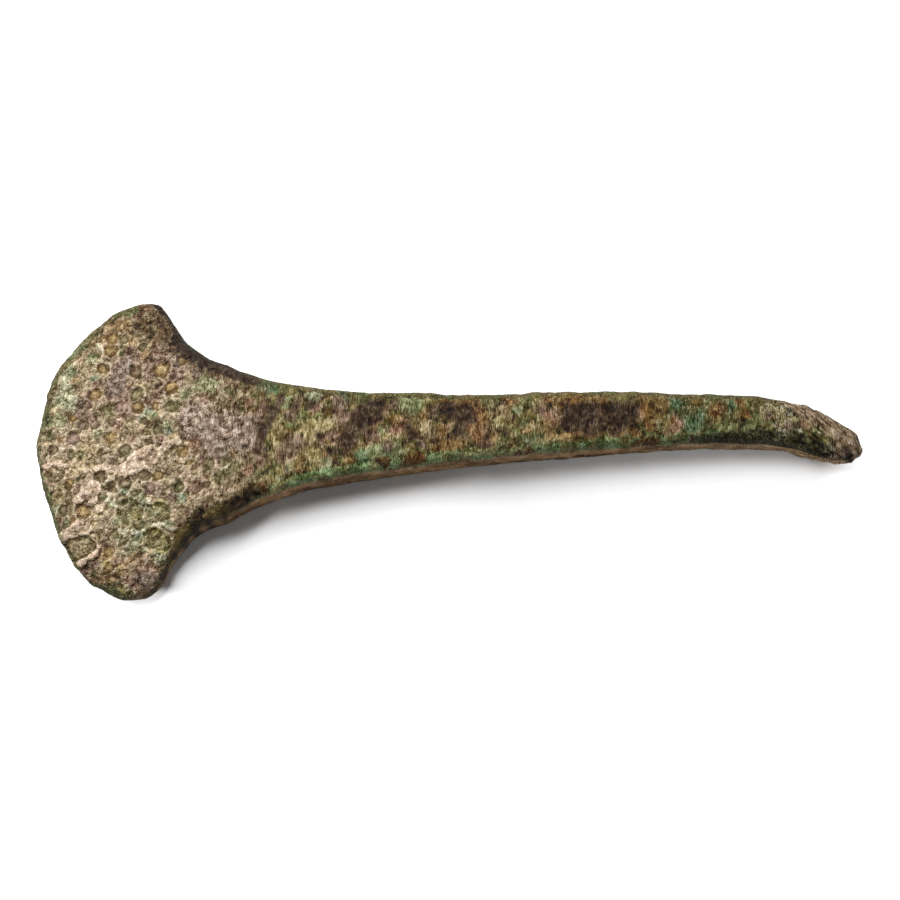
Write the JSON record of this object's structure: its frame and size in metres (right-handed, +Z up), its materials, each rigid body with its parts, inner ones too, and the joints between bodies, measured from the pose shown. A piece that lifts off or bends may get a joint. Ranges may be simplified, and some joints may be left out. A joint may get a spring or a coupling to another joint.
{
  "type": "bronze age chisel",
  "caption": "Solid bronze hand chisel with a fan blade, convex edge, tapering shank and slightly bent butt, under a corroded green and brown patina.",
  "frame": {"origin": "on the ground, below the middle of the chisel's box as it lies on its flat underside", "axes": "+X along the chisel from the cutting edge to the butt, +Y across the blade, +Z up through its thickness"},
  "size_m": [0.1402, 0.0516, 0.0094],
  "materials": {
    "patinated_bronze": "rough, pitted corrosion crust in pale pinkish grey, green, olive and dark brown, with almost no bare metal showing"
  },
  "bodies": {
    "root": {"chisel_casting": "patinated_bronze"}
  },
  "joints": []
}
